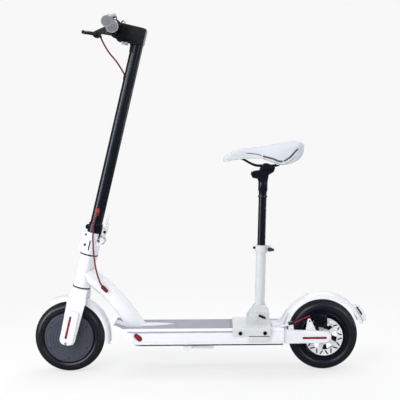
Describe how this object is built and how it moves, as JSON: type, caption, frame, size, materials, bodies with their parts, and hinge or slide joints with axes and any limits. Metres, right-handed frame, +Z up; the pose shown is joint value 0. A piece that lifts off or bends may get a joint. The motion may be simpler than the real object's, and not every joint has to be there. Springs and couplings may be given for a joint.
{
  "type": "electric kick scooter",
  "caption": "Folding electric kick scooter with a hub-motor front wheel, a disc-braked rear wheel and a saddle on a post clamped over the deck.",
  "frame": {"origin": "on the ground, under the middle of the bounding box", "axes": "-X is the direction of travel (front), -Y the rider's left, +Z up"},
  "size_m": [1.057, 0.43, 1.1249],
  "materials": {
    "white_paint": "satin",
    "black_paint": "satin",
    "black_plastic": "matte",
    "white_plastic": "satin",
    "grey_rubber": "matte",
    "grip_rubber": "matte",
    "tyre_rubber": "matte",
    "motor_grey": "satin",
    "alloy": "satin",
    "steel": "satin",
    "chrome": "polished",
    "red_cable": "satin",
    "red_reflector": "gloss",
    "saddle_cover": "satin",
    "battery_wrap": "satin",
    "gloss_black": "gloss",
    "clear_lens": "gloss"
  },
  "bodies": {
    "frame": {"head_tube": "white_paint", "headset_lower": "black_paint", "headset_upper": "black_paint", "down_tube": "white_paint", "frame_grommet": "red_reflector", "deck_tray": "white_paint", "deck_mat": "grey_rubber", "bottom_cover": "black_plastic", "battery_pack": "battery_wrap", "motor_controller": "alloy", "rear_fork": "white_paint", "rear_cover_left": "white_plastic", "rear_cover_right": "white_plastic", "rear_fender": "white_plastic", "tail_light": "red_reflector", "rear_axle": "steel", "brake_caliper": "black_paint", "brake_cable_frame": "red_cable", "brake_wire": "steel", "seat_bracket": "white_paint"},
    "steering": {"fork": "white_paint", "fork_cover_left": "white_plastic", "fork_cover_right": "white_plastic", "front_fender": "white_plastic", "front_axle": "steel", "motor_stator": "alloy", "fold_base": "white_paint", "brake_cable_loop": "red_cable"},
    "front_wheel": {"front_tyre": "tyre_rubber", "motor_shell": "motor_grey"},
    "stem": {"stem_foot": "black_paint", "stem_tube": "black_paint", "head": "black_plastic", "dash_panel": "gloss_black", "headlight": "clear_lens", "handlebar": "black_paint", "grip_left": "grip_rubber", "grip_right": "grip_rubber", "brake_perch": "black_plastic", "bell": "chrome", "brake_cable_stem": "red_cable"},
    "fold_lever": {"fold_lever": "white_paint"},
    "brake_lever": {"brake_lever": "black_paint"},
    "throttle": {"throttle": "black_plastic"},
    "bell_lever": {"bell_lever": "black_plastic"},
    "power_button": {"power_button": "alloy"},
    "rear_wheel": {"rear_tyre": "tyre_rubber", "rear_rim": "black_paint", "brake_rotor": "steel"},
    "caliper_arm": {"caliper_arm": "steel"},
    "kickstand": {"kickstand": "black_paint"},
    "charge_flap": {"charge_flap": "red_reflector"},
    "seat_latch": {"seat_latch": "black_plastic"},
    "seat_tube": {"seat_tube": "white_paint", "post_clamp": "black_paint"},
    "post_clamp_lever": {"post_clamp_lever": "black_paint"},
    "seat_post": {"seat_post": "black_paint", "saddle_clamp": "black_paint", "saddle_rails": "steel", "saddle": "saddle_cover"}
  },
  "joints": [
    {"name": "steering", "type": "hinge", "parent": "frame", "child": "steering", "pos_m": [-0.36629, 0, 0.32187], "axis": [0.236, 0, 0.9718], "range_deg": [-60, 60]},
    {"name": "front_wheel_spin", "type": "hinge", "parent": "steering", "child": "front_wheel", "pos_m": [-0.4175, 0, 0.111], "axis": [0, 1, 0], "continuous": true},
    {"name": "rear_wheel_spin", "type": "hinge", "parent": "frame", "child": "rear_wheel", "pos_m": [0.3905, 0, 0.111], "axis": [0, 1, 0], "continuous": true},
    {"name": "stem_fold", "type": "hinge", "parent": "steering", "child": "stem", "pos_m": [-0.31283, 0, 0.41488], "axis": [0, 1, 0], "range_deg": [0, 38], "deforming": ["brake_cable_loop"]},
    {"name": "fold_lever_turn", "type": "hinge", "parent": "stem", "child": "fold_lever", "pos_m": [-0.30139, 0, 0.44503], "axis": [0, 1, 0], "range_deg": [0, 95]},
    {"name": "brake_lever_pull", "type": "hinge", "parent": "stem", "child": "brake_lever", "pos_m": [-0.29876, -0.0875, 1.08303], "axis": [0.236, 0, 0.9718], "range_deg": [0, 22], "stiffness_Nm_per_rad": 0.9, "springref_deg": -6.88},
    {"name": "caliper_arm_turn", "type": "hinge", "parent": "frame", "child": "caliper_arm", "pos_m": [0.3785, -0.0375, 0.1635], "axis": [0, -1, 0], "range_deg": [0, 16]},
    {"name": "throttle_turn", "type": "hinge", "parent": "stem", "child": "throttle", "pos_m": [-0.25997, 0.083, 1.08596], "axis": [0, 1, 0], "range_deg": [0, 28], "stiffness_Nm_per_rad": 0.15, "springref_deg": -14.32},
    {"name": "bell_lever_push", "type": "hinge", "parent": "stem", "child": "bell_lever", "pos_m": [-0.25525, -0.058, 1.1054], "axis": [0.236, 0, 0.9718], "range_deg": [0, 20], "stiffness_Nm_per_rad": 0.03, "springref_deg": -11.46},
    {"name": "power_button_press", "type": "slide", "parent": "stem", "child": "power_button", "axis": [-0.236, 0, -0.9718], "range_m": [0, 0.0012], "stiffness_N_per_m": 900, "springref_m": -0.0006},
    {"name": "kickstand_swing", "type": "hinge", "parent": "frame", "child": "kickstand", "pos_m": [-0.04, -0.052, 0.085], "axis": [0, 0.9563, -0.2924], "range_deg": [0, 90]},
    {"name": "charge_flap_open", "type": "hinge", "parent": "frame", "child": "charge_flap", "pos_m": [-0.20466, -0.0759, 0.13111], "axis": [-0.6157, 0, -0.788], "range_deg": [0, 110]},
    {"name": "seat_fold", "type": "hinge", "parent": "frame", "child": "seat_tube", "pos_m": [0.175, 0, 0.1653], "axis": [0, 1, 0], "range_deg": [-48, 0]},
    {"name": "seat_latch_turn", "type": "hinge", "parent": "frame", "child": "seat_latch", "pos_m": [0.2035, -0.0293, 0.17], "axis": [0, 1, 0], "range_deg": [0, 60]},
    {"name": "post_clamp_lever_turn", "type": "hinge", "parent": "seat_tube", "child": "post_clamp_lever", "pos_m": [0.22151, -0.0143, 0.38579], "axis": [0, 1, 0], "range_deg": [0, 80]},
    {"name": "seat_height", "type": "slide", "parent": "seat_tube", "child": "seat_post", "axis": [0.0349, 0, 0.9994], "range_m": [-0.098, 0]}
  ],
  "couplings": [
    {"joint": "caliper_arm_turn", "follows": "brake_lever_pull", "ratio": 0.68}
  ]
}
